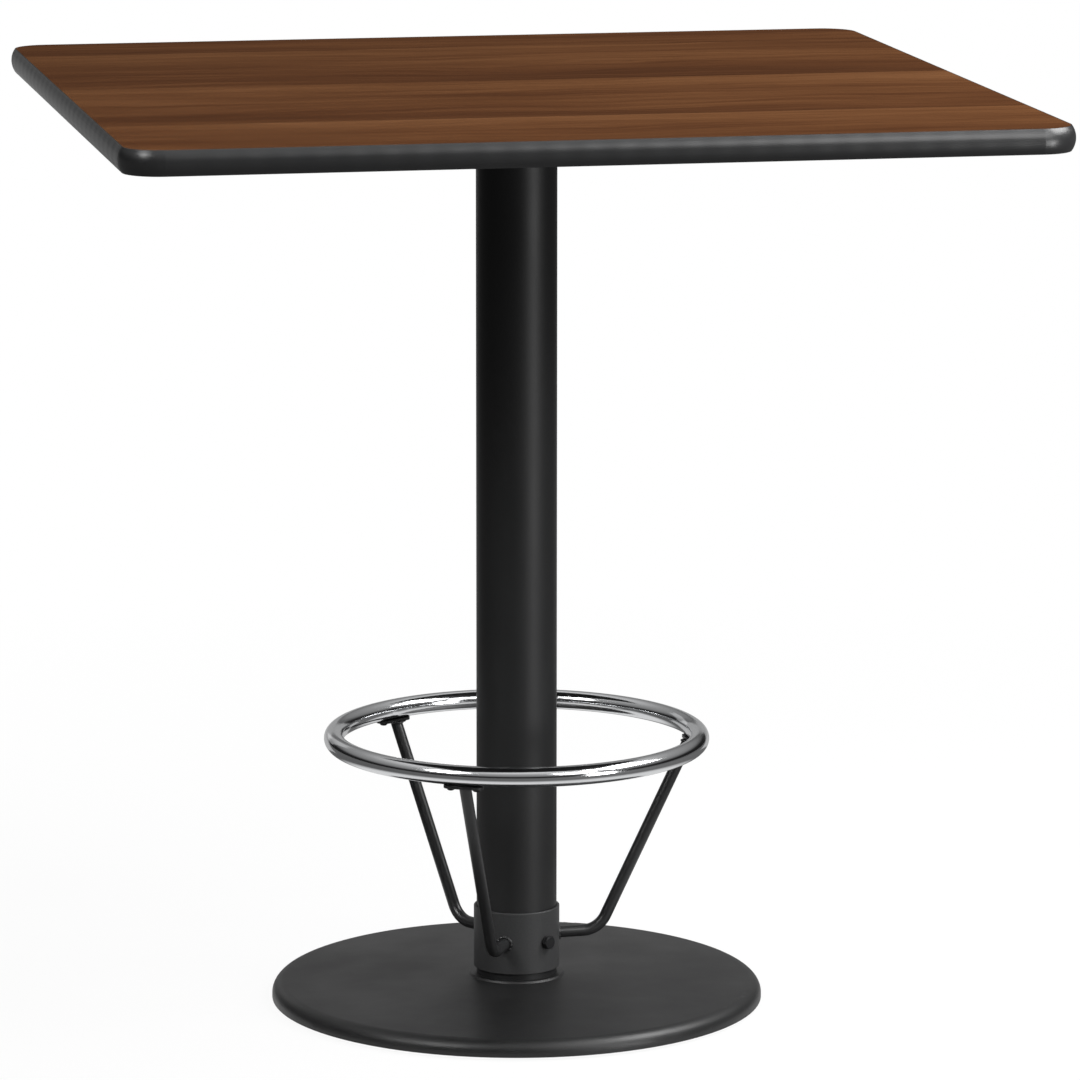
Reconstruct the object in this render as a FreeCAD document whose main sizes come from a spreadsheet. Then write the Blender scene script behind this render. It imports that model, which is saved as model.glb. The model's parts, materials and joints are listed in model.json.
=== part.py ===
import FreeCAD, Part
import math
import os
import Sketcher
from FreeCAD import Placement, Rotation, Vector

# A square bar-height pub table: laminate top with a bullnose vinyl edge, round steel column on a
# cast round base, and a chromed foot ring on three bent legs that clamps to the column.
# Origin on the floor under the column, +Z up, top edges along X and Y, millimetres.

SIZES = {
    # table top
    "table_height": 1095.4,
    "top_side": 1066.8,
    "top_thick": 28.6,
    "top_corner": 46.0,
    "laminate_thick": 0.8,
    "backing_thick": 0.8,
    "edge_skin": 1.2,
    "edge_bulge": 4.6,
    "tongue_reach": 9.0,
    "tongue_thick": 2.8,
    "groove_clear": 0.2,
    # column and tie rod
    "column_dia": 95.5,
    "column_wall": 2.0,
    "spigot_clear": 0.3,
    "rod_dia": 12.0,
    "rod_clear": 0.3,
    "rod_stickout": 3.0,
    "nut_across": 19.0,
    "nut_thick": 10.0,
    "washer_dia": 38.0,
    "washer_thick": 3.0,
    # cast base
    "base_dia": 584.2,
    "rim_clear": 4.0,
    "rim_wall": 4.0,
    "rim_round": 15.0,
    "dome_rise": 7.0,
    "base_wall": 8.0,
    "boss_dia": 114.0,
    "boss_rise": 2.2,
    "boss_bevel": 1.6,
    "socket_depth": 8.5,
    "socket_clear": 0.25,
    "spigot_rise": 14.0,
    "spigot_wall": 8.5,
    "hub_floor": 11.0,
    "rib_thick": 8.0,
    "rib_foot": 11.0,
    # levelling glides
    "glide_inset": 39.4,
    "glide_boss_dia": 28.0,
    "glide_boss_foot": 10.0,
    "glide_hole_top": 20.5,
    "stud_dia": 8.0,
    "stud_clear": 0.1,
    "stud_head_dia": 14.0,
    "stud_head_thick": 3.0,
    "stud_top_gap": 0.8,
    "pad_dia": 34.0,
    "pad_floor": 2.5,
    "pad_lip": 1.4,
    "swivel_clear": 0.3,
    # spider that carries the top
    "spider_span": 456.0,
    "spider_plate": 6.0,
    "spider_flange_dia": 124.0,
    "cup_depth": 28.0,
    "cup_wall": 5.5,
    "cup_floor": 6.0,
    "arm_root": 56.0,
    "arm_tip": 30.0,
    "arm_rib_thick": 6.0,
    "arm_rib_deep": 24.0,
    "arm_rib_end": 40.0,
    "screw_end_gap": 20.0,
    "screw_pitch": 68.0,
    "screw_dia": 5.0,
    "screw_clear": 0.25,
    "screw_head_dia": 9.5,
    "screw_head_thick": 3.2,
    # foot ring, its legs and the clamping collar
    "ring_dia": 433.6,
    "ring_tube": 23.6,
    "ring_wall": 1.6,
    "ring_height": 318.0,
    "collar_wall": 2.9,
    "collar_clear": 0.4,
    "collar_tall": 74.5,
    "collar_gap": 7.3,
    "collar_bevel": 0.9,
    "leg_dia": 14.0,
    "leg_wall": 2.0,
    "leg_bend": 31.0,
    "leg_run": 50.0,
    "leg_inset": 3.0,
    "leg_angle": 2.5,
    "plate_length": 48.0,
    "plate_width": 18.5,
    "plate_thick": 3.0,
    "plate_hole_pitch": 31.0,
    "ring_screw_dia": 5.0,
    "ring_screw_clear": 0.15,
    "ring_screw_head_dia": 9.5,
    "ring_screw_head_thick": 3.4,
    "ring_screw_reach": 8.0,
    "bolt_dia": 9.5,
    "bolt_clear": 0.1,
    "bolt_across": 14.3,
    "bolt_head_thick": 6.0,
    "bolt_head_gap": 1.6,
    "bolt_tip_gap": 0.3,
}
ARMS = 4
GLIDES = 4
LEGS = 3
HALF_DIAGONAL = math.sqrt(0.5)
SPARE = 5.0  # how far a cutting tool runs past what it cuts

doc = FreeCAD.newDocument("pub_table")
sheet = doc.addObject("Spreadsheet::Sheet", "sizes")
for row, (alias, value) in enumerate(SIZES.items(), start=1):
    sheet.set(f"A{row}", alias)
    sheet.set(f"B{row}", str(value))
    sheet.setAlias(f"B{row}", alias)
doc.recompute()


class Size:
    """A number from the sheet together with the expression that binds a property to it."""

    def __init__(self, value, text):
        self.value = value
        self.text = text

    def _with(self, other, sign, value):
        text = other.text if isinstance(other, Size) else repr(float(other))
        return Size(value, f"({self.text} {sign} {text})")

    def __add__(self, other):
        return self._with(other, "+", self.value + number(other))

    def __sub__(self, other):
        return self._with(other, "-", self.value - number(other))

    def __mul__(self, other):
        return self._with(other, "*", self.value * number(other))

    def __truediv__(self, other):
        return self._with(other, "/", self.value / number(other))

    def __neg__(self):
        return self * -1


def number(size):
    return size.value if isinstance(size, Size) else float(size)


def size(alias):
    return Size(float(sheet.get(alias)), f"sizes.{alias}")


def bind(thing, prop, value):
    """Sets a property and ties it to the sheet."""
    if isinstance(value, Size):
        thing.setExpression(prop, value.text)


# Sketch helpers


def new_body(name):
    body = doc.addObject("PartDesign::Body", name)
    body.Label = name
    return body


def origin_part(body, role):
    return next(item for item in body.Origin.OriginFeatures if item.Role == role)


def new_sketch(body, name, role, offset=None):
    sketch = body.newObject("Sketcher::SketchObject", name)
    sketch.AttachmentSupport = [(origin_part(body, role), "")]
    sketch.MapMode = "FlatFace"
    if offset is not None:
        sketch.AttachmentOffset = Placement(Vector(0, 0, number(offset)), Rotation())
        bind(sketch, "AttachmentOffset.Base.z", offset)
    return sketch


def pin(sketch, geo, end, x, y):
    """Holds one point of a sketch at x, y from the sketch's origin."""
    for kind, axis, value in (("DistanceX", -2, x), ("DistanceY", -1, y)):
        amount = number(value)
        if amount == 0:
            sketch.addConstraint(Sketcher.Constraint("PointOnObject", geo, end, axis))
            continue
        first, second = ((-1, 1), (geo, end)) if amount > 0 else ((geo, end), (-1, 1))
        index = sketch.addConstraint(Sketcher.Constraint(kind, *first, *second, abs(amount)))
        if isinstance(value, Size):
            text = value.text if amount > 0 else (-value).text
            sketch.setExpression(f"Constraints[{index}]", text)


def add_circle(sketch, x, y, diameter):
    centre = Vector(number(x), number(y), 0)
    geo = sketch.addGeometry(Part.Circle(centre, Vector(0, 0, 1), number(diameter) / 2), False)
    pin(sketch, geo, 3, x, y)
    index = sketch.addConstraint(Sketcher.Constraint("Diameter", geo, number(diameter)))
    bind(sketch, f"Constraints[{index}]", diameter)


def add_outline(sketch, points):
    """Closed outline through (x, y) points; (x, y, radius) bows the run to the next point outward."""
    runs = []
    for index, point in enumerate(points):
        here = Vector(number(point[0]), number(point[1]), 0)
        after = points[(index + 1) % len(points)]
        there = Vector(number(after[0]), number(after[1]), 0)
        if len(point) == 2:
            geo = sketch.addGeometry(Part.LineSegment(here, there), False)
        else:
            middle, chord = (here + there) / 2, there - here
            radius = number(point[2])
            rise = math.sqrt(max(radius**2 - chord.Length**2 / 4, 0))
            centre = middle + Vector(-chord.y, chord.x, 0).normalize() * rise
            start = math.atan2(here.y - centre.y, here.x - centre.x)
            stop = math.atan2(there.y - centre.y, there.x - centre.x)
            circle = Part.Circle(centre, Vector(0, 0, 1), radius)
            geo = sketch.addGeometry(Part.ArcOfCircle(circle, start, stop), False)
            bound = sketch.addConstraint(Sketcher.Constraint("Radius", geo, radius))
            bind(sketch, f"Constraints[{bound}]", point[2])
        runs.append(geo)
    for index, geo in enumerate(runs):
        before = runs[index - 1]
        sketch.addConstraint(Sketcher.Constraint("Coincident", before, 2, geo, 1))
        pin(sketch, geo, 1, points[index][0], points[index][1])


def rounded_square(side, corner):
    """Counter-clockwise outline of a square with round corners, centred on the origin."""
    half = side / 2
    flat = half - corner
    return [
        (half, -flat), (half, flat, corner), (flat, half), (-flat, half, corner),
        (-half, flat), (-half, -flat, corner), (-flat, -half), (flat, -half, corner),
    ]


def hexagon(across):
    reach = across / math.sqrt(3)
    turns = [math.radians(60 * side) for side in range(6)]
    corners = [(round(math.cos(turn), 9), round(math.sin(turn), 9)) for turn in turns]
    return [(reach * x if x else 0, reach * y if y else 0) for x, y in corners]


def pad(body, sketch, length, midplane=False):
    feature = body.newObject("PartDesign::Pad", sketch.Name + "_pad")
    feature.Profile = sketch
    feature.Length = number(length)
    bind(feature, "Length", length)
    feature.Midplane = midplane
    sketch.Visibility = False
    return feature


def revolve(body, points):
    """Revolves an (r, z) outline about the body's own Z axis."""
    sketch = new_sketch(body, body.Name + "_profile", "XZ_Plane")
    add_outline(sketch, points)
    feature = body.newObject("PartDesign::Revolution", body.Name + "_turned")
    feature.Profile = sketch
    feature.ReferenceAxis = (sketch, ["V_Axis"])
    feature.Angle = 360
    return feature


def repeat_around(body, features, count):
    pattern = body.newObject("PartDesign::PolarPattern", body.Name + "_pattern")
    pattern.Originals = features
    pattern.Axis = (origin_part(body, "Z_Axis"), [""])
    pattern.Angle = 360
    pattern.Occurrences = count
    body.Tip = pattern


def ring_body(name, outer, inner, thick, foot):
    """Tube or washer standing on the level foot."""
    body = new_body(name)
    sketch = new_sketch(body, name + "_ring", "XY_Plane", foot)
    add_circle(sketch, 0, 0, outer)
    add_circle(sketch, 0, 0, inner)
    pad(body, sketch, thick)
    return body


def slab(name, side, corner, thick, foot, holes=(), hole_dia=None):
    body = new_body(name)
    add_slab(body, "sheet", side, corner, thick, foot, holes, hole_dia)
    return body


def add_slab(body, label, side, corner, thick, foot, holes, hole_dia):
    sketch = new_sketch(body, f"{body.Name}_{label}", "XY_Plane", foot)
    add_outline(sketch, rounded_square(side, corner))
    for x, y in holes:
        add_circle(sketch, x, y, hole_dia)
    pad(body, sketch, thick)


def turn(thing, angle):
    """Turns a finished piece about the column's axis."""
    thing.Placement = Placement(Vector(), Rotation(Vector(0, 0, 1), number(angle)))
    if isinstance(angle, Size):
        thing.setExpression("Placement.Rotation.Angle", angle.text)


def place(thing, x=0, y=0, z=0, rotation=None):
    thing.Placement = Placement(Vector(number(x), number(y), number(z)), rotation or Rotation())
    for axis, value in (("x", x), ("y", y), ("z", z)):
        bind(thing, f"Placement.Base.{axis}", value)
    return thing


def cylinder(name, radius, height):
    thing = doc.addObject("Part::Cylinder", name)
    thing.Radius, thing.Height = number(radius), number(height)
    bind(thing, "Radius", radius)
    bind(thing, "Height", height)
    return thing


def fuse(name, pieces):
    joined = doc.addObject("Part::MultiFuse", name)
    joined.Shapes = pieces
    return joined


def cut(name, base, tools):
    """Takes one tool, or several fused tools, away from a piece."""
    result = doc.addObject("Part::Cut", name)
    result.Base = base
    result.Tool = tools[0] if len(tools) == 1 else fuse(name + "_tools", tools)
    result.Label = name
    return result


def group(name, solids):
    """Several separate solids of one kind kept as one named piece."""
    together = doc.addObject("Part::Compound", name)
    together.Links = solids
    together.Label = name
    return together


ALONG_X = Rotation(Vector(0, 1, 0), 90)

# Levels and radii that several pieces share

top_under = size("table_height") - size("top_thick")
column_inner = size("column_dia") - size("column_wall") * 2
spigot_dia = column_inner - size("spigot_clear") * 2
shoulder = size("rim_clear") + size("rim_wall") + size("rim_round")
boss_top = shoulder + size("dome_rise") + size("boss_rise")
column_foot = boss_top - size("socket_depth")
column_top = top_under - size("spider_plate")
spigot_top = column_foot + size("spigot_rise")
hub_under = column_foot - size("hub_floor") + size("socket_depth")
rod_hole = size("rod_dia") + size("rod_clear") * 2
cup_under = top_under - size("cup_depth") - size("cup_floor")
cup_floor_top = top_under - size("cup_depth")
collar_dia = size("column_dia") + (size("collar_clear") + size("collar_wall")) * 2
collar_foot = boss_top + size("collar_gap")
collar_middle = collar_foot + size("collar_tall") / 2
leg_top_radius = size("ring_dia") / 2 - size("leg_inset")
leg_knee = collar_dia / 2 + size("leg_run")
glide_radius = size("base_dia") / 2 - size("glide_inset")
screw_outer = size("spider_span") / 2 - size("screw_end_gap")
screw_inner = screw_outer - size("screw_pitch")
core_thick = size("top_thick") - size("backing_thick") - size("laminate_thick")
groove = size("tongue_thick") + size("groove_clear") * 2
half_core = (core_thick - groove) / 2
screw_bite = size("backing_thick") + half_core + groove / 2
plate_under = size("ring_height") - size("ring_tube") / 2 - size("plate_thick")
bolt_angle = size("leg_angle") + 360 / LEGS * (LEGS - 0.5)

# Where the wood screws of the spider go into the top
screw_spots = [
    (radius * (HALF_DIAGONAL * x), radius * (HALF_DIAGONAL * y))
    for radius in (screw_inner, screw_outer)
    for x in (1, -1)
    for y in (1, -1)
]


def make_top():
    """Chipboard core, laminate, backing sheet, and a vinyl moulding with its tongue in the core's groove."""
    core_side = size("top_side") - (size("edge_skin") + size("edge_bulge")) * 2
    core_corner = size("top_corner") - size("edge_skin") - size("edge_bulge")
    core_foot = top_under + size("backing_thick")
    set_in = size("tongue_reach") + size("groove_clear")
    hole = size("screw_dia") + size("screw_clear") * 2

    core = new_body("top_core")
    add_slab(core, "lower", core_side, core_corner, half_core, core_foot, screw_spots, hole)
    add_slab(core, "groove", core_side - set_in * 2, core_corner - set_in, groove,
             core_foot + half_core, screw_spots, hole)
    add_slab(core, "upper", core_side, core_corner, half_core, core_foot + half_core + groove, (), None)
    laminate = slab("top_laminate", core_side, core_corner, size("laminate_thick"),
                    size("table_height") - size("laminate_thick"))
    backing = slab("backing_sheet", core_side, core_corner, size("backing_thick"), top_under,
                   screw_spots, hole)

    # bullnose: an arc with the bulge as its rise over the whole edge height
    edge = new_body("edge_moulding")
    half_side = core_side / 2
    face = half_side + size("edge_skin")
    rise = size("edge_bulge")
    bow = (size("top_thick") * size("top_thick") / 4 + rise * rise) / (rise * 2)
    tongue_low = core_foot + half_core + size("groove_clear")
    tongue_high = tongue_low + size("tongue_thick")
    tongue_end = half_side - size("tongue_reach")
    profile = new_sketch(edge, "edge_profile", "XZ_Plane")
    add_outline(profile, [
        (half_side, top_under), (face, top_under, bow), (face, size("table_height")),
        (half_side, size("table_height")), (half_side, tongue_high), (tongue_end, tongue_high),
        (tongue_end, tongue_low), (half_side, tongue_low),
    ])
    path = new_sketch(edge, "edge_path", "XY_Plane", top_under)
    add_outline(path, [(half_side, 0)] + rounded_square(core_side, core_corner)[1:]
                + [(half_side, -(half_side - core_corner))])
    sweep = edge.newObject("PartDesign::AdditivePipe", "edge_sweep")
    sweep.Profile = profile
    sweep.Spine = path
    return [core, laminate, backing, edge]


def make_spider():
    """Four-armed casting: a cup that drops into the column, arms that carry the top and a rib under each."""
    spider = new_body("spider")
    cup_radius = spigot_dia / 2
    cup_inner = cup_radius - size("cup_wall")
    flange = size("spider_flange_dia") / 2
    revolve(spider, [
        (rod_hole / 2, cup_under), (cup_radius, cup_under), (cup_radius, column_top),
        (flange, column_top), (flange, top_under), (cup_inner, top_under),
        (cup_inner, cup_floor_top), (rod_hole / 2, cup_floor_top),
    ])
    tip = size("spider_span") / 2
    root = cup_radius - size("cup_wall") / 2
    arm = new_sketch(spider, "spider_arm", "XY_Plane", column_top)
    add_outline(arm, [
        (root, -(size("arm_root") / 2)), (tip, -(size("arm_tip") / 2)),
        (tip, size("arm_tip") / 2), (root, size("arm_root") / 2),
    ])
    for radius in (screw_inner, screw_outer):
        add_circle(arm, radius, 0, size("screw_dia") + size("screw_clear") * 2)
    arm_pad = pad(spider, arm, size("spider_plate"))
    rib = new_sketch(spider, "spider_rib", "XZ_Plane")
    rib_start = size("column_dia") / 2 + size("cup_wall")
    rib_stop = screw_inner - size("screw_head_dia")
    lap = size("spider_plate") / 2
    add_outline(rib, [
        (rib_start, column_top - size("arm_rib_deep")), (rib_stop, column_top - size("cup_wall")),
        (rib_stop, column_top + lap), (rib_start, column_top + lap),
    ])
    rib_pad = pad(spider, rib, size("arm_rib_thick"), midplane=True)
    repeat_around(spider, [arm_pad, rib_pad], ARMS)
    turn(spider, 45)
    screws = []
    length = size("spider_plate") + screw_bite
    for index, (x, y) in enumerate(screw_spots, start=1):
        shank = place(cylinder(f"top_shank_{index}", size("screw_dia") / 2, length), x, y, column_top)
        head = cylinder(f"top_head_{index}", size("screw_head_dia") / 2, size("screw_head_thick"))
        place(head, x, y, column_top - size("screw_head_thick"))
        screws.append(fuse(f"top_screw_{index}", [shank, head]))
    return [spider, group("top_screws", screws)]


def make_column():
    """Column tube, and the tie rod that draws the spider, column and base together."""
    column = ring_body("column", size("column_dia"), column_inner, column_top - column_foot, column_foot)
    lower_nut = hub_under - size("washer_thick") - size("nut_thick")
    upper_washer = cup_floor_top
    upper_nut = upper_washer + size("washer_thick")
    rod_foot = lower_nut - size("rod_stickout")
    rod_head = upper_nut + size("nut_thick") + size("rod_stickout")
    rod = place(cylinder("tie_rod", size("rod_dia") / 2, rod_head - rod_foot), z=rod_foot)
    pieces = [column, rod]
    for end, washer_foot, nut_foot in (
        ("lower", hub_under - size("washer_thick"), lower_nut),
        ("upper", upper_washer, upper_nut),
    ):
        pieces.append(ring_body(f"rod_washer_{end}", size("washer_dia"), rod_hole,
                                size("washer_thick"), washer_foot))
        nut = new_body(f"rod_nut_{end}")
        sketch = new_sketch(nut, f"rod_nut_{end}_hexagon", "XY_Plane", nut_foot)
        add_outline(sketch, hexagon(size("nut_across")))
        add_circle(sketch, 0, 0, size("rod_dia") + size("stud_clear") * 2)
        pad(nut, sketch, size("nut_thick"))
        pieces.append(nut)
    return pieces


def make_base():
    """Round casting, hollow below: a domed shell, a hub that seats the column, ribs and glide bosses."""
    base = new_body("base_plate")
    edge = size("base_dia") / 2
    inner_edge = edge - size("base_wall")
    shoulder_radius = edge - size("rim_round")
    boss = size("boss_dia") / 2
    boss_foot = shoulder + size("dome_rise")
    bevel = size("boss_bevel")
    socket = size("column_dia") / 2 + size("socket_clear")
    spigot = spigot_dia / 2
    spigot_inner = spigot - size("spigot_wall")
    hub_top = hub_under + size("hub_floor")
    rim_top = size("rim_clear") + size("rim_wall")
    under_shoulder = shoulder - size("base_wall")
    revolve(base, [
        (inner_edge, size("rim_clear")), (edge, size("rim_clear")), (edge, rim_top, size("rim_round")),
        (shoulder_radius, shoulder), (boss, boss_foot), (boss - bevel, boss_top), (socket, boss_top),
        (socket, column_foot), (spigot, column_foot), (spigot, spigot_top),
        (spigot_inner, spigot_top), (spigot_inner, hub_top), (rod_hole / 2, hub_top),
        (rod_hole / 2, hub_under), (boss, hub_under), (shoulder_radius, under_shoulder),
        (inner_edge, rim_top),
    ])
    rib = new_sketch(base, "base_rib", "XZ_Plane")
    rib_end = glide_radius
    lap = size("base_wall") / 2
    add_outline(rib, [
        (boss - lap, size("rib_foot")), (rib_end, size("rib_foot")),
        (rib_end, under_shoulder + lap), (boss - lap, hub_under + lap),
    ])
    rib_pad = pad(base, rib, size("rib_thick"), midplane=True)
    mount = new_sketch(base, "glide_boss", "XY_Plane", size("glide_boss_foot"))
    add_circle(mount, rib_end, 0, size("glide_boss_dia"))
    mount_pad = pad(base, mount, under_shoulder + lap - size("glide_boss_foot"))
    hole = new_sketch(base, "glide_hole", "XY_Plane", size("glide_boss_foot"))
    add_circle(hole, rib_end, 0, size("stud_dia") + size("stud_clear") * 2)
    doc.recompute()
    bore = base.newObject("PartDesign::Pocket", "glide_bore")
    bore.Profile = hole
    bore.Reversed = True
    bore.Length = number(size("glide_hole_top") - size("glide_boss_foot"))
    bind(bore, "Length", size("glide_hole_top") - size("glide_boss_foot"))
    repeat_around(base, [rib_pad, mount_pad, bore], GLIDES)
    turn(base, 45)
    return [base]


def make_glides():
    """Four levelling glides: a nylon pad that stays still on the floor and a stud that turns in it."""
    pieces = []
    spot = glide_radius * HALF_DIAGONAL
    head = size("stud_head_dia") / 2
    stud = size("stud_dia") / 2
    clear = size("swivel_clear")
    pad_radius = size("pad_dia") / 2
    head_foot = size("pad_floor") + clear
    head_top = head_foot + size("stud_head_thick")
    pocket_top = head_top + clear
    pad_thick = pocket_top + size("pad_lip")
    for index, (x, y) in enumerate(((1, 1), (-1, 1), (-1, -1), (1, -1)), start=1):
        foot = new_body(f"glide_pad_{index}")
        revolve(foot, [
            (0, 0), (pad_radius - size("pad_lip"), 0), (pad_radius, size("pad_floor")),
            (pad_radius - size("pad_lip"), pad_thick), (stud + clear, pad_thick),
            (stud + clear, pocket_top), (head + clear, pocket_top),
            (head + clear, size("pad_floor")), (0, size("pad_floor")),
        ])
        screw = new_body(f"glide_stud_{index}")
        revolve(screw, [
            (0, head_foot), (head, head_foot), (head, head_top), (stud, head_top),
            (stud, size("glide_hole_top") - size("stud_top_gap")),
            (0, size("glide_hole_top") - size("stud_top_gap")),
        ])
        for body in (foot, screw):
            place(body, spot * x, spot * y, 0)
        pieces += [foot, screw]
    return pieces


def leg_path(body):
    """Centre line of a leg at angle 0: level out of the collar to a bent knee, then straight to the ring."""
    start = size("column_dia") / 2
    top = plate_under + SPARE
    bend = number(size("leg_bend"))
    end = Vector(number(leg_top_radius), number(top), 0)
    level = number(collar_middle)
    corner = Vector(number(leg_knee), level, 0)
    lean = math.atan2(end.y - corner.y, end.x - corner.x)
    tangent = bend * math.tan(lean / 2)
    first = corner - Vector(tangent, 0, 0)
    second = corner + Vector(math.cos(lean), math.sin(lean), 0) * tangent
    path = new_sketch(body, body.Name + "_path", "XZ_Plane")
    flat = path.addGeometry(Part.LineSegment(Vector(number(start), level, 0), first), False)
    circle = Part.Circle(Vector(first.x, level + bend, 0), Vector(0, 0, 1), bend)
    arc = path.addGeometry(Part.ArcOfCircle(circle, -math.pi / 2, lean - math.pi / 2), False)
    slope = path.addGeometry(Part.LineSegment(second, end), False)
    knee = path.addGeometry(Part.Point(corner), True)
    path.addConstraint(Sketcher.Constraint("Tangent", flat, 2, arc, 1))
    path.addConstraint(Sketcher.Constraint("Tangent", arc, 2, slope, 1))
    path.addConstraint(Sketcher.Constraint("Horizontal", flat))
    bound = path.addConstraint(Sketcher.Constraint("Radius", arc, bend))
    bind(path, f"Constraints[{bound}]", size("leg_bend"))
    path.addConstraint(Sketcher.Constraint("PointOnObject", knee, 1, slope))
    pin(path, knee, 1, leg_knee, collar_middle)
    pin(path, flat, 1, start, collar_middle)
    pin(path, slope, 2, leg_top_radius, top)
    return path


def make_legs():
    """Three bent tubes, coped to the collar, each with a flat plate that screws up into the ring."""
    pieces = []
    for index in range(1, LEGS + 1):
        angle = size("leg_angle") + 360 / LEGS * (index - 1)
        tube = new_body(f"leg_tube_{index}")
        path = leg_path(tube)
        for feature, diameter in (
            ("AdditivePipe", size("leg_dia")),
            ("SubtractivePipe", size("leg_dia") - size("leg_wall") * 2),
        ):
            section = new_sketch(tube, f"leg_{feature}_{index}", "YZ_Plane", size("column_dia") / 2)
            add_circle(section, 0, collar_middle, diameter)
            sweep = tube.newObject(f"PartDesign::{feature}", f"leg_{feature}_sweep_{index}")
            sweep.Profile = section
            sweep.Spine = path
        cope = cylinder(f"leg_cope_{index}", collar_dia / 2, collar_middle * 2)
        above = cylinder(f"leg_trim_{index}", size("ring_dia"), size("ring_tube") + SPARE)
        place(above, z=plate_under)
        leg = cut(f"leg_{index}", tube, [cope, above])
        turn(leg, angle)

        plate = new_body(f"leg_plate_{index}")
        sketch = new_sketch(plate, f"leg_plate_outline_{index}", "XY_Plane", plate_under)
        half_width = size("plate_width") / 2
        flat = size("plate_length") / 2 - half_width
        low, high = size("ring_dia") / 2 - half_width, size("ring_dia") / 2 + half_width
        centre = size("ring_dia") / 2
        add_outline(sketch, [
            (high, -flat), (high, flat, half_width), (centre, flat + half_width, half_width),
            (low, flat), (low, -flat, half_width), (centre, -(flat + half_width), half_width),
        ])
        for side in (1, -1):
            add_circle(sketch, centre, size("plate_hole_pitch") / 2 * side,
                       size("ring_screw_dia") + size("ring_screw_clear") * 2)
        pad(plate, sketch, size("plate_thick"))
        turn(plate, angle)
        pieces += [leg, plate]
    return pieces


def make_ring():
    """Chromed tube ring, drilled below for the plate screws."""
    torus = doc.addObject("Part::Torus", "ring_outside")
    hollow = doc.addObject("Part::Torus", "ring_inside")
    radius = size("ring_dia") / 2
    bore = size("ring_tube") / 2 - size("ring_wall")
    for thing, tube in ((torus, size("ring_tube") / 2), (hollow, bore)):
        thing.Radius1, thing.Radius2 = number(radius), number(tube)
        bind(thing, "Radius1", radius)
        bind(thing, "Radius2", tube)
        place(thing, z=size("ring_height"))
    holes, screws = [], []
    head_foot = plate_under - size("ring_screw_head_thick")
    for index in range(LEGS):
        turned = math.radians(number(size("leg_angle")) + 360 / LEGS * index)
        for side in (1, -1):
            across = size("plate_hole_pitch") / 2 * side
            x = radius * math.cos(turned) - across * math.sin(turned)
            y = radius * math.sin(turned) + across * math.cos(turned)
            tag = f"{index + 1}_{'a' if side > 0 else 'b'}"
            hole = cylinder(f"ring_hole_{tag}", size("ring_screw_dia") / 2 + size("ring_screw_clear"),
                            size("ring_tube") / 2)
            holes.append(place(hole, x, y, size("ring_height") - size("ring_tube") / 2 - SPARE))
            shank = cylinder(f"ring_shank_{tag}", size("ring_screw_dia") / 2,
                             size("plate_thick") + size("ring_screw_reach"))
            head = cylinder(f"ring_head_{tag}", size("ring_screw_head_dia") / 2,
                            size("ring_screw_head_thick"))
            screws.append(fuse(f"ring_screw_{tag}", [place(shank, x, y, plate_under),
                                                     place(head, x, y, head_foot)]))
    ring = cut("foot_ring", torus, [hollow] + holes)
    return [ring, group("ring_screws", screws)]


def make_collar():
    """Tube that slides on the column, and the hex bolt that clamps it."""
    inner = size("column_dia") + size("collar_clear") * 2
    outside = collar_dia / 2
    bevel = size("collar_bevel")
    collar_top = collar_foot + size("collar_tall")
    tube = new_body("collar_tube")
    revolve(tube, [
        (inner / 2, collar_foot), (outside - bevel, collar_foot),
        (outside, collar_foot + bevel), (outside, collar_top - bevel),
        (outside - bevel, collar_top), (inner / 2, collar_top),
    ])
    spin = Rotation(Vector(0, 0, 1), number(bolt_angle))
    hole = cylinder("bolt_hole", size("bolt_dia") / 2 + size("bolt_clear"), collar_dia)
    hole.Placement = Placement(Vector(0, 0, number(collar_middle)), spin * ALONG_X)
    bind(hole, "Placement.Base.z", collar_middle)

    bolt = new_body("clamp_bolt")
    tip = size("column_dia") / 2 + size("bolt_tip_gap")
    head_foot = outside + size("bolt_head_gap")
    shank = new_sketch(bolt, "bolt_shank", "YZ_Plane", tip)
    add_circle(shank, 0, collar_middle, size("bolt_dia"))
    pad(bolt, shank, head_foot - tip + size("bolt_head_thick") / 2)
    head = new_sketch(bolt, "bolt_head", "YZ_Plane", head_foot)
    add_outline(head, [(x, collar_middle + y) for x, y in hexagon(size("bolt_across"))])
    pad(bolt, head, size("bolt_head_thick"))
    turn(bolt, bolt_angle)
    return [cut("collar", tube, [hole]), bolt]


def main():
    pieces = (make_top() + make_spider() + make_column() + make_base() + make_glides()
              + make_legs() + make_ring() + make_collar())
    doc.recompute()
    failed = [thing.Label for thing in doc.Objects if {"Invalid", "Error"} & set(thing.State)]
    bad = [piece.Label for piece in pieces if piece.Shape.isNull() or not piece.Shape.isValid()]
    if failed or bad:
        raise RuntimeError(f"failed objects: {failed}; bad shapes: {bad}")
    os.makedirs("parts", exist_ok=True)
    for piece in pieces:
        piece.Shape.exportStep(f"parts/{piece.Label}.step")
        volume = piece.Shape.Volume / 1000
        print(f"{piece.Label:18s} solids {len(piece.Shape.Solids)}  volume {volume:9.2f} cm3")


main()
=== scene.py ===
"""Looks of the pub table.

Materials for every CAD piece, weld beads, screw heads, floor, light and camera.
Sizes are in metres, in the CAD model's own frame.
"""

import json
import math

import bmesh
import bpy
from mathutils import Matrix, Vector


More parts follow.
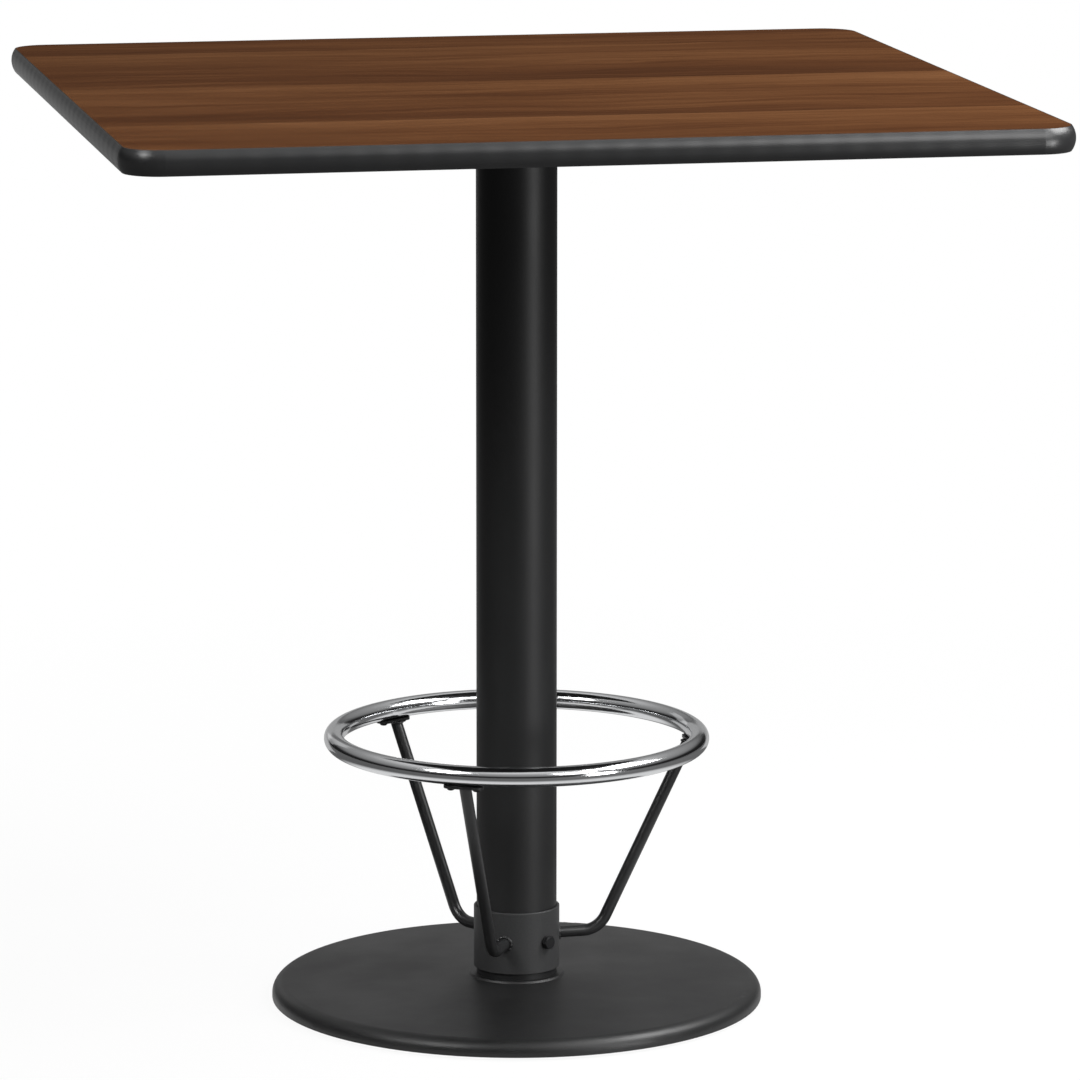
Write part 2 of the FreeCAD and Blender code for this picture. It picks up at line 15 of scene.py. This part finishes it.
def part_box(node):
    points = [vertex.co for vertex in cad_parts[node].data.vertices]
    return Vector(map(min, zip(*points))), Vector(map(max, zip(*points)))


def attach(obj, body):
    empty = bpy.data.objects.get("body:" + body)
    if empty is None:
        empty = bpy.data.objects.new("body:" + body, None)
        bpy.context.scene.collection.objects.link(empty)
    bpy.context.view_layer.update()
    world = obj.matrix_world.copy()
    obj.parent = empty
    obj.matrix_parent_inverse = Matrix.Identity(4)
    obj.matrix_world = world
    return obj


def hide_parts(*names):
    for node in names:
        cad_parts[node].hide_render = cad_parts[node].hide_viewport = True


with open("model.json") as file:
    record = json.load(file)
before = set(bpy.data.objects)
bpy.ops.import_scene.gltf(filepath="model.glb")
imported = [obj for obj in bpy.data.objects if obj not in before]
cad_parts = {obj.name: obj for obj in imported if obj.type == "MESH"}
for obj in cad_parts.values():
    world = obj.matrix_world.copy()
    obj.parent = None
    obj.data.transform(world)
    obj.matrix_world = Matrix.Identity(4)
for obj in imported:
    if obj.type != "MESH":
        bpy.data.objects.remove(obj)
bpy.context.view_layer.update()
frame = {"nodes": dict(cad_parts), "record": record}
nodes = frame["nodes"]


def box_radius(node):
    """Half the width of a round node."""
    low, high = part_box(node)
    return (high[0] - low[0]) / 2


# Sizes that the pieces share with the solids

LEG_COUNT = 3
FIRST_LEG_DEGREES = 2.5
LEG_ANGLES = [math.radians(FIRST_LEG_DEGREES + index * 360 / LEG_COUNT) for index in range(LEG_COUNT)]
LEG_RADIUS = 0.007
LEG_LEAN = math.radians(26)
LEG_TOP_INSET = 0.0054
PLATE_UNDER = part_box("leg_plate_1")[0][2]

RING_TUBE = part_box("foot_ring")[1][2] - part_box("foot_ring")[0][2]
RING_RADIUS = box_radius("foot_ring") - RING_TUBE / 2
LEG_TOP_RADIUS = RING_RADIUS - LEG_TOP_INSET
SCREW_PITCH = 0.031

COLLAR_RADIUS = box_radius("collar")
COLLAR_MIDDLE = (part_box("collar")[0][2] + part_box("collar")[1][2]) / 2

BOLT_ANGLE = math.radians(302.5)
BOLT_RADIUS = 0.00475
BOLT_ACROSS = 0.0143
BOLT_HEAD = 0.006
BOLT_HEAD_GAP = 0.0016
BOLT_TIP_GAP = 0.0003
BOLT_HEAD_FOOT = COLLAR_RADIUS + BOLT_HEAD_GAP
BOLT_TIP = box_radius("column") + BOLT_TIP_GAP


# Node helpers


def new_material(name):
    material = bpy.data.materials.new(name)
    material.use_nodes = True
    return material, material.node_tree, material.node_tree.nodes["Principled BSDF"]


def add_node(tree, kind, inputs=(), **settings):
    """Adds a node; inputs is a list of (socket, value or output) pairs."""
    node = tree.nodes.new("ShaderNode" + kind)
    for name, value in settings.items():
        setattr(node, name, value)
    for socket, value in inputs:
        if isinstance(value, bpy.types.NodeSocket):
            tree.links.new(value, node.inputs[socket])
        else:
            node.inputs[socket].default_value = value
    return node


def math_node(tree, operation, first, second=0.0):
    pairs = [(0, first), (1, second)]
    return add_node(tree, "Math", pairs, operation=operation).outputs[0]


def plus(tree, first, second):
    return math_node(tree, "ADD", first, second)


def times(tree, first, second):
    return math_node(tree, "MULTIPLY", first, second)


def object_position(tree):
    return add_node(tree, "TexCoord").outputs["Object"]


def separate(tree, vector):
    """The vector's X, Y and Z outputs."""
    return add_node(tree, "SeparateXYZ", [(0, vector)]).outputs


def combine(tree, x, y, z):
    return add_node(tree, "CombineXYZ", [(0, x), (1, y), (2, z)]).outputs[0]


def stretched(tree, vector, scale):
    pairs = [(0, vector), (1, scale)]
    return add_node(tree, "VectorMath", pairs, operation="MULTIPLY").outputs[0]


def noise(tree, vector, scale, detail=4.0, roughness=0.55):
    pairs = [("Vector", vector), ("Scale", scale), ("Detail", detail), ("Roughness", roughness)]
    return add_node(tree, "TexNoise", pairs).outputs[0]


def stretched_noise(tree, vector, scale, detail, roughness=0.55):
    """Noise with its own scale along each axis."""
    return noise(tree, stretched(tree, vector, scale), 1.0, detail, roughness)


def remap(tree, value, low, high, to_low, to_high):
    pairs = [(0, value), (1, low), (2, high), (3, to_low), (4, to_high)]
    return add_node(tree, "MapRange", pairs).outputs[0]


def ramp(tree, value, stops):
    """Colour ramp from (place, colour) pairs."""
    node = add_node(tree, "ValToRGB", [(0, value)])
    points = node.color_ramp.elements
    while len(points) < len(stops):
        points.new(0.5)
    for point, (place, colour) in zip(points, stops):
        point.position = place
        point.color = (*colour, 1)
    return node.outputs[0]


def mix_colour(tree, factor, first, second):
    """Mixes a colour, or the colour of an output, with a second colour."""
    first_socket, second_socket, mixed_socket = 6, 7, 2
    if isinstance(first, tuple):
        first = (*first, 1)
    pairs = [(0, factor), (first_socket, first), (second_socket, (*second, 1))]
    return add_node(tree, "Mix", pairs, data_type="RGBA").outputs[mixed_socket]


def bump(tree, height, strength, distance, before=None):
    pairs = [("Height", height), ("Strength", strength), ("Distance", distance)]
    if before is not None:
        pairs.append(("Normal", before))
    return add_node(tree, "Bump", pairs).outputs[0]


def set_roughness(tree, shader, base, pattern, change):
    """Roughness that rises from base by change where the pattern is 1."""
    tree.links.new(plus(tree, base, times(tree, pattern, change)), shader.inputs["Roughness"])


def brightened(colour, gain):
    return tuple(channel * gain for channel in colour)


def grey(value):
    return (value, value, value)


# Materials


def walnut_laminate():
    """Printed walnut planks along X: plank tone, broad figure, streaks, pores and thin seams."""
    plank_width = 0.355
    first_seam = -0.31
    print_shift = 9.0
    wander_stretch = (2.0, 5.0, 1.0)
    wander_scale, wander_depth = 1.3, 0.11
    band_stretch, streak_stretch = (0.9, 13.0, 1.0), (3.6, 105.0, 1.0)
    pore_stretch = (22.0, 420.0, 1.0)
    band_share, streak_share = 0.54, 0.42
    plank_fade = (-0.075, 0.095)
    plank_change = (-0.03, 0.03)
    wood_tones = [
        (0.28, (0.070, 0.0245, 0.0086)),
        (0.43, (0.114, 0.0420, 0.0146)),
        (0.55, (0.162, 0.0648, 0.0234)),
        (0.72, (0.232, 0.1010, 0.0400)),
    ]
    pore_low, pore_high, pore_share = 0.55, 0.70, 0.42
    pore_colour = (0.030, 0.0105, 0.0045)
    seam_width, seam_share = 0.0045, 0.55
    seam_colour = (0.022, 0.0085, 0.004)

    material, tree, shader = new_material("walnut_laminate")
    x, y, _ = separate(tree, object_position(tree))
    across = math_node(tree, "DIVIDE", math_node(tree, "SUBTRACT", y, first_seam), plank_width)
    plank = math_node(tree, "FLOOR", across)
    within = math_node(tree, "FRACT", across)
    chance = add_node(tree, "TexWhiteNoise", [("W", plank)], noise_dimensions="1D").outputs[0]

    along = plus(tree, x, times(tree, chance, print_shift))
    grain_place = stretched(tree, combine(tree, along, y, plank), wander_stretch)
    wander = noise(tree, grain_place, wander_scale, detail=2.0)
    bent = combine(tree, along, plus(tree, y, times(tree, wander, wander_depth)), plank)
    bands = stretched_noise(tree, bent, band_stretch, detail=3.0, roughness=0.6)
    streaks = stretched_noise(tree, bent, streak_stretch, detail=5.0, roughness=0.65)
    pores = stretched_noise(tree, bent, pore_stretch, detail=3.0, roughness=0.7)

    tone = plus(tree, times(tree, bands, band_share), times(tree, streaks, streak_share))
    tone = plus(tree, tone, remap(tree, within, 0.0, 1.0, *plank_fade))
    tone = plus(tree, tone, remap(tree, chance, 0.0, 1.0, *plank_change))
    colour = ramp(tree, tone, wood_tones)
    dots = remap(tree, pores, pore_low, pore_high, 0.0, pore_share)
    colour = mix_colour(tree, dots, colour, pore_colour)
    edge = math_node(tree, "MINIMUM", within, math_node(tree, "SUBTRACT", 1.0, within))
    seam = remap(tree, edge, 0.0, seam_width, seam_share, 0.0)
    colour = mix_colour(tree, seam, colour, seam_colour)
    tree.links.new(colour, shader.inputs["Base Color"])
    set_roughness(tree, shader, base=0.14, pattern=streaks, change=0.10)
    shader.inputs["Specular IOR Level"].default_value = 0.06
    tree.links.new(bump(tree, pores, strength=0.06, distance=0.0002), shader.inputs["Normal"])
    return material


def coated_black(name, colour, roughness, grain_scale, grain_depth, cloud=0.25, gloss=0.3, uneven=0.1):
    """Black finish with a fine orange-peel or sand grain, uneven sheen and lighter flecks where the grain
    stands highest.
    """
    cloud_scale = 7.0
    speck_low, speck_high, speck_share = 0.35, 0.75, 0.35
    speck_gain = 1.6
    grain_strength = 0.5

    material, tree, shader = new_material(name)
    place = object_position(tree)
    clouds = noise(tree, place, cloud_scale, detail=3.0)
    grain = noise(tree, place, grain_scale, detail=2.0, roughness=0.6)
    dark = brightened(colour, 1 - cloud)
    light = brightened(colour, 1 + cloud)
    tint = mix_colour(tree, clouds, dark, light)
    speck = remap(tree, grain, speck_low, speck_high, 0.0, speck_share)
    tint = mix_colour(tree, speck, tint, brightened(light, speck_gain))
    tree.links.new(tint, shader.inputs["Base Color"])
    set_roughness(tree, shader, base=roughness - uneven / 2, pattern=clouds, change=uneven)
    shader.inputs["Specular IOR Level"].default_value = gloss
    tree.links.new(bump(tree, grain, grain_strength, grain_depth), shader.inputs["Normal"])
    return material


def vinyl_edge():
    """Extruded vinyl moulding: drawn lines along it and faint ripples where it was hammered on."""
    cloud_scale = 9.0
    radians_per_metre = 170.0
    ripple_strength, ripple_depth = 0.14, 0.0012
    line_stretch = (1.5, 1.5, 900.0)
    line_strength, line_depth = 0.08, 0.0002
    dark, light = (0.017, 0.0172, 0.0178), (0.023, 0.0232, 0.0239)

    material, tree, shader = new_material("vinyl_edge")
    place = object_position(tree)
    x, y, _ = separate(tree, place)
    clouds = noise(tree, place, cloud_scale, detail=3.0)
    lines = stretched_noise(tree, place, line_stretch, detail=2.0)
    ripple_x = math_node(tree, "SINE", times(tree, x, radians_per_metre))
    ripple_y = math_node(tree, "SINE", times(tree, y, radians_per_metre))
    ripple = times(tree, plus(tree, ripple_x, ripple_y), clouds)
    tree.links.new(mix_colour(tree, clouds, dark, light), shader.inputs["Base Color"])
    shader.inputs["Specular IOR Level"].default_value = 0.8
    set_roughness(tree, shader, base=0.29, pattern=lines, change=0.10)
    soft = bump(tree, ripple, ripple_strength, ripple_depth)
    tree.links.new(bump(tree, lines, line_strength, line_depth, soft), shader.inputs["Normal"])
    return material


def polished_chrome():
    """Bright plate with faint polishing lines and a few smudges."""
    smudge_scale = 22.0
    line_stretch = (60.0, 60.0, 1400.0)
    line_strength, line_depth = 0.002, 0.0001
    dull, bright = (0.80, 0.81, 0.83), (0.90, 0.91, 0.92)

    material, tree, shader = new_material("ring_chrome")
    place = object_position(tree)
    smudges = noise(tree, place, smudge_scale, detail=4.0)
    lines = stretched_noise(tree, place, line_stretch, detail=2.0)
    tree.links.new(mix_colour(tree, smudges, dull, bright), shader.inputs["Base Color"])
    set_roughness(tree, shader, base=0.10, pattern=smudges, change=0.05)
    shader.inputs["Metallic"].default_value = 1.0
    tree.links.new(bump(tree, lines, line_strength, line_depth), shader.inputs["Normal"])
    return material


def plated_steel():
    """Zinc-plated hardware with a brushed grain."""
    patch_scale = 60.0
    brush_stretch = (300.0, 300.0, 40.0)
    brush_strength, brush_depth = 0.1, 0.0002
    dull, bright = (0.42, 0.43, 0.44), (0.60, 0.60, 0.58)

    material, tree, shader = new_material("zinc_steel")
    place = object_position(tree)
    brush = stretched_noise(tree, place, brush_stretch, detail=3.0)
    patches = noise(tree, place, patch_scale, detail=3.0)
    tree.links.new(mix_colour(tree, patches, dull, bright), shader.inputs["Base Color"])
    set_roughness(tree, shader, base=0.28, pattern=brush, change=0.2)
    shader.inputs["Metallic"].default_value = 1.0
    tree.links.new(bump(tree, brush, brush_strength, brush_depth), shader.inputs["Normal"])
    return material


def raw_chipboard():
    """Pressed wood flakes."""
    flake_stretch = (160.0, 240.0, 420.0)
    flake_tones = [(0.1, (0.42, 0.27, 0.14)), (0.8, (0.24, 0.14, 0.065))]
    fibre_scale = 900.0
    fibre_colour = (0.55, 0.40, 0.24)
    fibre_low, fibre_high, fibre_share = 0.4, 0.7, 0.4
    fibre_strength, fibre_depth = 0.4, 0.0004

    material, tree, shader = new_material("chipboard")
    place = object_position(tree)
    flake_place = stretched(tree, place, flake_stretch)
    flakes = add_node(tree, "TexVoronoi", [("Vector", flake_place), ("Scale", 1.0)])
    fibre = noise(tree, place, fibre_scale, detail=3.0)
    tint = ramp(tree, flakes.outputs["Distance"], flake_tones)
    threads = remap(tree, fibre, fibre_low, fibre_high, 0.0, fibre_share)
    tint = mix_colour(tree, threads, tint, fibre_colour)
    tree.links.new(tint, shader.inputs["Base Color"])
    shader.inputs["Roughness"].default_value = 0.85
    tree.links.new(bump(tree, fibre, fibre_strength, fibre_depth), shader.inputs["Normal"])
    return material


BLACK_FINISHES = {
    "backing_sheet": dict(
        colour=(0.020, 0.020, 0.021), roughness=0.6, grain_scale=1200.0, grain_depth=0.0002
    ),
    "black_tube": dict(
        colour=(0.0180, 0.0183, 0.0190), roughness=0.32, grain_scale=900.0, grain_depth=0.00008, gloss=0.6
    ),
    "textured_base": dict(
        colour=(0.0085, 0.0086, 0.0088), roughness=0.43, grain_scale=520.0, grain_depth=0.0004,
        cloud=0.3, gloss=0.55, uneven=0.35
    ),
    "black_casting": dict(
        colour=(0.016, 0.016, 0.017), roughness=0.55, grain_scale=420.0, grain_depth=0.0005
    ),
    "black_screws": dict(
        colour=(0.014, 0.014, 0.015), roughness=0.34, grain_scale=700.0, grain_depth=0.0002
    ),
    "nylon": dict(
        colour=(0.018, 0.018, 0.018), roughness=0.5, grain_scale=800.0, grain_depth=0.0002
    ),
    "column_paint": dict(
        colour=(0.0108, 0.0109, 0.0113), roughness=0.48, grain_scale=1100.0, grain_depth=0.00006,
        cloud=0.15, gloss=0.5
    ),
    "collar_paint": dict(
        colour=(0.0420, 0.0424, 0.0432), roughness=0.50, grain_scale=900.0, grain_depth=0.00012,
        cloud=0.2, gloss=0.4
    ),
}

FINISHES = {
    "walnut_laminate": walnut_laminate(),
    "chipboard": raw_chipboard(),
    "vinyl_edge": vinyl_edge(),
    "ring_chrome": polished_chrome(),
    "zinc_steel": plated_steel(),
}
for name, look in BLACK_FINISHES.items():
    FINISHES[name] = coated_black(name, **look)

# The column is a deeper black and the collar a paler one than the legs, whose slot they share.
OWN_FINISH = {"column": "column_paint", "collar": "collar_paint"}

for entry in frame["record"]["subparts"]:
    mesh = nodes[entry["node"]].data
    mesh.materials.clear()
    mesh.materials.append(FINISHES[OWN_FINISH.get(entry["node"], entry["material_slot"])])


# Pieces


def add_piece(name, mesh, body, slot):
    """Puts a finished mesh in the scene, on a body and with one of the record's finishes."""
    mesh.materials.append(FINISHES[slot])
    mesh.shade_smooth()
    piece = bpy.data.objects.new(name, mesh)
    bpy.context.scene.collection.objects.link(piece)
    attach(piece, body)
    return piece


def mesh_from_rings(name, rings, close_along=False):
    """Skins a list of equal rings of points.

    The ends are closed with flat caps, unless the rings form a loop.
    """
    shape = bmesh.new()
    rows = [[shape.verts.new(point) for point in ring] for ring in rings]
    pairs = list(zip(rows, rows[1:]))
    if close_along:
        pairs.append((rows[-1], rows[0]))
    for low, high in pairs:
        for index in range(len(low)):
            after = (index + 1) % len(low)
            shape.faces.new((low[index], low[after], high[after], high[index]))
    if not close_along:
        shape.faces.new(reversed(rows[0]))
        shape.faces.new(rows[-1])
    bmesh.ops.recalc_face_normals(shape, faces=shape.faces)
    mesh = bpy.data.meshes.new(name)
    shape.to_mesh(mesh)
    shape.free()
    return mesh


def even_turns(count):
    return [math.tau * step / count for step in range(count)]


def polar(radius, turn, height):
    return Vector((radius * math.cos(turn), radius * math.sin(turn), height))


def circle(radius, height, count):
    return [polar(radius, turn, height) for turn in even_turns(count)]


def bead_rings(path, axis, size, phase):
    """Lumpy weld bead: circles along a closed path, swelling and shrinking like laid drops."""
    ring_steps = 12
    drops, drop_swell = 11, 0.16
    waves, wave_swell = 5, 0.07
    centre = sum(path, Vector()) / len(path)
    rings = []
    for point, place in zip(path, even_turns(len(path))):
        outward = (point - centre).normalized()
        swell = 1 + drop_swell * math.sin(drops * place + phase) + wave_swell * math.sin(waves * place)
        ring = []
        for turn in even_turns(ring_steps):
            ring.append(point + (outward * math.cos(turn) + axis * math.sin(turn)) * size * swell)
        rings.append(ring)
    return rings


def make_weld(name, path, axis, size, phase):
    mesh = mesh_from_rings(name, bead_rings(path, axis, size, phase), close_along=True)
    add_piece(name, mesh, "foot_rest", "black_tube")


def make_welds():
    """Weld beads where each leg meets the collar and its plate."""
    path_steps = 88
    collar_bead, collar_gap = 0.0019, 0.0012
    plate_bead, plate_gap, plate_drop = 0.0011, 0.0006, 0.0004
    collar_reach = LEG_RADIUS + collar_gap
    short_way = LEG_RADIUS + plate_gap
    long_way = short_way / math.cos(LEG_LEAN)
    turns = even_turns(path_steps)
    up = Vector((0, 0, 1))
    for index, leg_angle in enumerate(LEG_ANGLES, start=1):
        radial = Vector((math.cos(leg_angle), math.sin(leg_angle), 0))
        side = Vector((-math.sin(leg_angle), math.cos(leg_angle), 0))
        path = []
        for turn in turns:
            across = collar_reach * math.cos(turn)
            out = math.sqrt(COLLAR_RADIUS**2 - across**2)
            height = COLLAR_MIDDLE + collar_reach * math.sin(turn)
            path.append(radial * out + side * across + up * height)
        make_weld(f"collar_weld_{index}", path, radial, collar_bead, index)

        centre = radial * LEG_TOP_RADIUS + up * (PLATE_UNDER - plate_drop)
        path = []
        for turn in turns:
            path.append(centre + radial * long_way * math.cos(turn) + side * short_way * math.sin(turn))
        make_weld(f"plate_weld_{index}", path, up, plate_bead, index + 1)


def hexagon_sides(across, count):
    """Radius and angle of a hexagon's points at even angles, so that it can be skinned to a circle."""
    sides = []
    for turn in even_turns(count):
        local = (turn + math.pi / 6) % (math.pi / 3) - math.pi / 6
        sides.append((across / 2 / math.cos(local), turn))
    return sides


def hex_head_rings(across, thick, foot, count):
    """Hexagon head with the round chamfer that cuts its corners, on a raised washer face."""
    chamfer_slope = math.tan(math.radians(30))
    crown_share, washer_share, middle_share = 0.95, 0.94, 0.15
    washer_thick = 0.0006
    crown = across / 2 * crown_share
    middle = crown * middle_share
    washer_radius = across / 2 * washer_share
    washer_top = foot + washer_thick
    top = foot + thick
    sides = hexagon_sides(across, count)
    return [
        circle(washer_radius, foot, count),
        circle(washer_radius, washer_top, count),
        [polar(radius, turn, washer_top) for radius, turn in sides],
        [polar(radius, turn, top - max(radius - crown, 0) * chamfer_slope) for radius, turn in sides],
        circle(crown, top, count),
        circle(middle, top, count),
    ]


def make_clamp_bolt():
    """Hex bolt with a chamfered head, a washer face and a pointed tip, in place of the plain solid."""
    count = 48
    tip_share, tip_length = 0.55, 0.0012
    sharp_angle = math.radians(28)
    rings = [
        circle(BOLT_RADIUS * tip_share, BOLT_TIP, count),
        circle(BOLT_RADIUS, BOLT_TIP + tip_length, count),
        circle(BOLT_RADIUS, BOLT_HEAD_FOOT, count),
    ]
    rings += hex_head_rings(BOLT_ACROSS, BOLT_HEAD, BOLT_HEAD_FOOT, count)
    mesh = mesh_from_rings("hex_bolt", rings)
    lay = Matrix.Rotation(BOLT_ANGLE, 4, "Z") @ Matrix.Rotation(math.pi / 2, 4, "Y")
    mesh.transform(Matrix.Translation((0, 0, COLLAR_MIDDLE)) @ lay)
    bolt = add_piece("hex_bolt", mesh, "clamp_bolt", "black_screws")
    mesh.set_sharp_from_angle(angle=sharp_angle)
    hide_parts("clamp_bolt")


def button_screw_rings():
    """One screw, its head hanging below zero: pointed shank, domed head and hexagon socket."""
    count = 36
    shank_radius, shank_top = 0.0025, 0.0110
    tip_share, tip_length = 0.6, 0.0012
    head_radius, head_thick, head_rim = 0.00475, 0.0034, 0.0007
    socket_across, socket_depth = 0.0030, 0.0016
    mouth_share = 0.7
    mouth_radius = socket_across * mouth_share
    dome_shares = (0.2, 0.4, 0.6, 0.8, 0.95)
    rings = [
        circle(shank_radius * tip_share, shank_top, count),
        circle(shank_radius, shank_top - tip_length, count),
        circle(shank_radius, 0, count),
        circle(head_radius, 0, count),
        circle(head_radius, -head_rim, count),
    ]
    for share in dome_shares:
        bend = share * math.pi / 2
        width = head_radius - (head_radius - mouth_radius) * (1 - math.cos(bend))
        rings.append(circle(width, -head_rim - (head_thick - head_rim) * math.sin(bend), count))
    sides = hexagon_sides(socket_across, count)
    for depth in (head_thick, head_thick - socket_depth):
        rings.append([polar(radius, turn, -depth) for radius, turn in sides])
    return rings


def make_ring_screws():
    """Button-head screws under the ring, two in each plate, in place of the plain ones."""
    sharp_angle = math.radians(35)
    rings = button_screw_rings()
    shape = bmesh.new()
    for leg_angle in LEG_ANGLES:
        for side in (1, -1):
            across = SCREW_PITCH / 2 * side
            x = RING_RADIUS * math.cos(leg_angle) - across * math.sin(leg_angle)
            y = RING_RADIUS * math.sin(leg_angle) + across * math.cos(leg_angle)
            one = mesh_from_rings("one_screw", rings)
            one.transform(Matrix.Translation((x, y, PLATE_UNDER)))
            shape.from_mesh(one)
            bpy.data.meshes.remove(one)
    mesh = bpy.data.meshes.new("button_screws")
    shape.to_mesh(mesh)
    shape.free()
    screws = add_piece("button_screws", mesh, "foot_rest", "black_screws")
    mesh.set_sharp_from_angle(angle=sharp_angle)
    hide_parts("ring_screws")


make_welds()
make_clamp_bolt()
make_ring_screws()


# Floor, light and camera


def make_floor():
    """Pale floor with the table's soft shadow.

    The camera sees it nearly white. Reflections see a painted pool of light on it, bright close to the
    base and dim further out, and it throws little light back on the table.
    """
    half = 40.0
    shadow_edge, white_edge, shadow_glow = 0.8, 2.5, 0.93
    painted_pool_edge, painted_pool_fade_edge = 0.46, 0.70
    painted_pool_glow, painted_far_glow = 0.75, 0.09
    bounce_colour, seen_colour = grey(0.05), grey(0.95)

    mesh = bpy.data.meshes.new("floor")
    corners = [(-half, -half, 0), (half, -half, 0), (half, half, 0), (-half, half, 0)]
    mesh.from_pydata(corners, [], [(0, 1, 2, 3)])
    material = bpy.data.materials.new("floor")
    material.use_nodes = True
    tree = material.node_tree
    tree.nodes.clear()
    path = add_node(tree, "LightPath").outputs
    reach = add_node(tree, "VectorMath", [(0, object_position(tree))], operation="LENGTH").outputs["Value"]
    # Painted pool of light: to reflections the floor glows bright near the base and fades to dim further
    # out.
    painted_pool = remap(tree, reach, painted_pool_edge, painted_pool_fade_edge, painted_pool_glow, painted_far_glow)
    painted_pool_in_reflections = times(tree, path["Is Glossy Ray"], painted_pool)
    direct = math_node(tree, "MAXIMUM", path["Is Camera Ray"], path["Is Transmission Ray"])
    seen = math_node(tree, "MAXIMUM", direct, painted_pool_in_reflections)
    glowing = remap(tree, reach, shadow_edge, white_edge, shadow_glow, 1.0)
    share = times(tree, seen, glowing)
    colour = mix_colour(tree, direct, bounce_colour, seen_colour)
    paint = add_node(tree, "BsdfDiffuse", [("Color", colour)]).outputs[0]
    glow = add_node(tree, "Emission", [("Color", (1, 1, 1, 1)), ("Strength", 1.0)]).outputs[0]
    both = add_node(tree, "MixShader", [(0, share), (1, paint), (2, glow)]).outputs[0]
    add_node(tree, "OutputMaterial", [("Surface", both)])
    mesh.materials.append(material)
    floor = bpy.data.objects.new("floor", mesh)
    bpy.context.scene.collection.objects.link(floor)


def make_world():
    """White to the camera, and to everything else a studio bright overhead and dim at the horizon."""
    sky_shades = [(0.0, 0.01), (0.20, 0.015), (0.36, 0.20), (0.60, 0.30), (0.80, 0.55), (0.95, 0.90)]

    world = bpy.data.worlds.new("studio")
    bpy.context.scene.world = world
    world.use_nodes = True
    tree = world.node_tree
    tree.nodes.clear()
    height = separate(tree, add_node(tree, "TexCoord").outputs["Generated"])[2]
    shade = ramp(tree, height, [(place, grey(value)) for place, value in sky_shades])
    seen = add_node(tree, "LightPath").outputs["Is Camera Ray"]
    colour = mix_colour(tree, seen, shade, grey(1))
    sky = add_node(tree, "Background", [("Color", colour), ("Strength", 1.0)]).outputs[0]
    add_node(tree, "OutputWorld", [("Surface", sky)])


def add_softbox(name, place, target, size, power, spread=180):
    """Area lamp that the camera doesn't see; spread is in degrees."""
    lamp = bpy.data.lights.new(name, "AREA")
    lamp.shape = "RECTANGLE"
    lamp.size, lamp.size_y = size
    lamp.energy = power
    lamp.spread = math.radians(spread)
    box = bpy.data.objects.new(name, lamp)
    box.location = place
    box.rotation_euler = (Vector(target) - Vector(place)).to_track_quat("-Z", "Y").to_euler()
    box.visible_camera = False
    bpy.context.scene.collection.objects.link(box)


def make_lights():
    """Key lamps on the right, a weak one on the left, and two cards behind for the edges."""
    add_softbox("strip", (2.0, -2.5, 0.55), (0, 0, 0.55), (0.9, 1.1), power=24)
    add_softbox("front", (1.6, -3.2, 2.7), (0.3, -0.5, 1.05), (1.6, 1.4), power=30)
    add_softbox("top", (2.1, -0.7, 2.95), (0, 0, 1.0), (2.0, 2.0), power=115)
    add_softbox("left", (-1.9, -1.2, 1.9), (0, 0, 0.08), (0.9, 0.9), power=1.1, spread=30)
    add_softbox("back_card", (0.3, 1.75, 0.51), (0.3, 1.25, 1.38), (2.1, 1.96), power=4.4)
    add_softbox("side_card", (-0.85, 2.2, 1.07), (-0.6, 0, 1.07), (0.8, 1.06), power=0.65)


def make_camera():
    """The photograph's view: a little left of the front, and about eleven degrees above level."""
    frame_pixels = 1080
    focal_pixels = 6356
    shift_pixels = -23.4
    distance = 7.5
    azimuth, elevation = math.radians(-11.14), math.radians(10.69)
    target = Vector((0, 0, 0.5556))
    level = math.cos(elevation)
    back = Vector((math.sin(azimuth) * level, -math.cos(azimuth) * level, math.sin(elevation)))
    lens = bpy.data.cameras.new("camera")
    lens.sensor_width = 36
    lens.lens = lens.sensor_width * focal_pixels / frame_pixels
    lens.shift_x = -shift_pixels / frame_pixels
    lens.clip_end = 200
    camera = bpy.data.objects.new("camera", lens)
    camera.location = target + back * distance
    camera.rotation_euler = back.to_track_quat("Z", "Y").to_euler()
    bpy.context.scene.collection.objects.link(camera)
    bpy.context.scene.camera = camera


make_floor()
make_world()
make_lights()
make_camera()
bpy.context.scene.view_settings.view_transform = "Standard"
